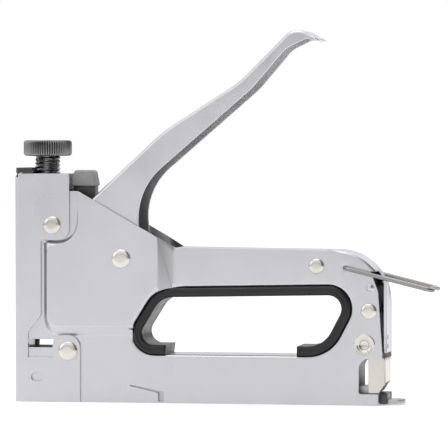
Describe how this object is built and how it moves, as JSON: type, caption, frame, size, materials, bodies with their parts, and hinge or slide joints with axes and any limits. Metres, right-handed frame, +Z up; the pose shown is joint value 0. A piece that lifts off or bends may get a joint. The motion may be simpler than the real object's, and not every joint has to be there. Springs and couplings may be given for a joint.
{
  "type": "staple gun",
  "caption": "Steel hand staple gun with a U-channel squeeze handle, lined finger opening, knurled power knob, pull-out staple rail, rear latch and wire bail.",
  "frame": {"origin": "middle of the flat sole that rests on the work", "axes": "+X back along the sole from the nose to the pull tab, +Y to the far side, +Z up from the work"},
  "size_m": [0.1688, 0.0272, 0.148],
  "materials": {
    "shell_steel": "satin nickel-chrome plated pressed steel",
    "rivet_nickel": "bright nickel-plated rivet",
    "dark_steel": "blackened steel",
    "spring_steel": "oiled spring steel",
    "plain_steel": "plain zinc-plated steel",
    "latch_steel": "warm nickel-plated spring strip",
    "black_rubber": "satin black moulded liner",
    "grey_plastic": "grey moulded buffer"
  },
  "bodies": {
    "frame": {"left_shell": "shell_steel", "right_shell": "shell_steel", "nose_cover": "shell_steel", "nose_top_plate": "dark_steel", "adjuster_nut": "plain_steel", "grip_liner": "black_rubber", "nose_rivets": "rivet_nickel", "body_rivets": "rivet_nickel", "handle_pivot_pin": "rivet_nickel", "latch_eyelet": "rivet_nickel", "spacer_sleeves": "plain_steel", "bumper_block": "plain_steel", "striker_bumper": "black_rubber", "blade_guide": "plain_steel", "magazine_channel": "plain_steel", "staple_strip": "plain_steel", "main_spring": "spring_steel"},
    "handle": {"handle_lever": "shell_steel", "lifter_lever": "dark_steel", "lever_buffer": "grey_plastic", "pivot_bushes": "plain_steel", "return_spring": "spring_steel"},
    "striker": {"striker_head": "dark_steel", "striker_blade": "spring_steel"},
    "adjuster": {"spring_cap": "plain_steel"},
    "knob": {"power_knob": "dark_steel"},
    "magazine": {"pusher_rail": "plain_steel", "rail_end_block": "dark_steel", "pull_tab": "plain_steel", "guide_rod": "plain_steel", "pusher_spring": "spring_steel"},
    "pusher": {"staple_pusher": "dark_steel"},
    "latch": {"magazine_latch": "latch_steel", "latch_spring": "spring_steel"},
    "bail": {"lock_bail": "spring_steel"}
  },
  "joints": [
    {"name": "handle_squeeze", "type": "hinge", "parent": "frame", "child": "handle", "pos_m": [-0.0313, 0, 0.0574], "axis": [0, 1, 0], "range_deg": [0, 38], "stiffness_Nm_per_rad": 1.5, "springref_deg": -20.05},
    {"name": "striker_lift", "type": "slide", "parent": "frame", "child": "striker", "axis": [0, 0, 1], "range_m": [0, 0.0216], "deforming": ["main_spring"]},
    {"name": "adjuster_screw", "type": "slide", "parent": "frame", "child": "adjuster", "axis": [0, 0, 1], "range_m": [-0.003, 0.003], "deforming": ["main_spring"]},
    {"name": "knob_turn", "type": "hinge", "parent": "adjuster", "child": "knob", "pos_m": [-0.0639, 0, 0.0982], "axis": [0, 0, 1], "range_deg": [-722, 722]},
    {"name": "rail_slide", "type": "slide", "parent": "frame", "child": "magazine", "axis": [1, 0, 0], "range_m": [0, 0.12]},
    {"name": "pusher_slide", "type": "slide", "parent": "magazine", "child": "pusher", "axis": [1, 0, 0], "range_m": [0, 0.055], "stiffness_N_per_m": 20, "springref_m": -0.08, "deforming": ["pusher_spring"]},
    {"name": "latch_release", "type": "hinge", "parent": "frame", "child": "latch", "pos_m": [0.0659, 0, 0.0238], "axis": [0, 1, 0], "range_deg": [-12, 0], "stiffness_Nm_per_rad": 0.1, "springref_deg": 17.19},
    {"name": "bail_swing", "type": "hinge", "parent": "frame", "child": "bail", "pos_m": [0.0583, 0, 0.0542], "axis": [0, 1, 0], "range_deg": [-95, 12]}
  ],
  "couplings": [
    {"joint": "striker_lift", "follows": "handle_squeeze", "m_per_rad": 0.03249},
    {"joint": "knob_turn", "follows": "adjuster_screw", "rad_per_m": 4188.8}
  ]
}
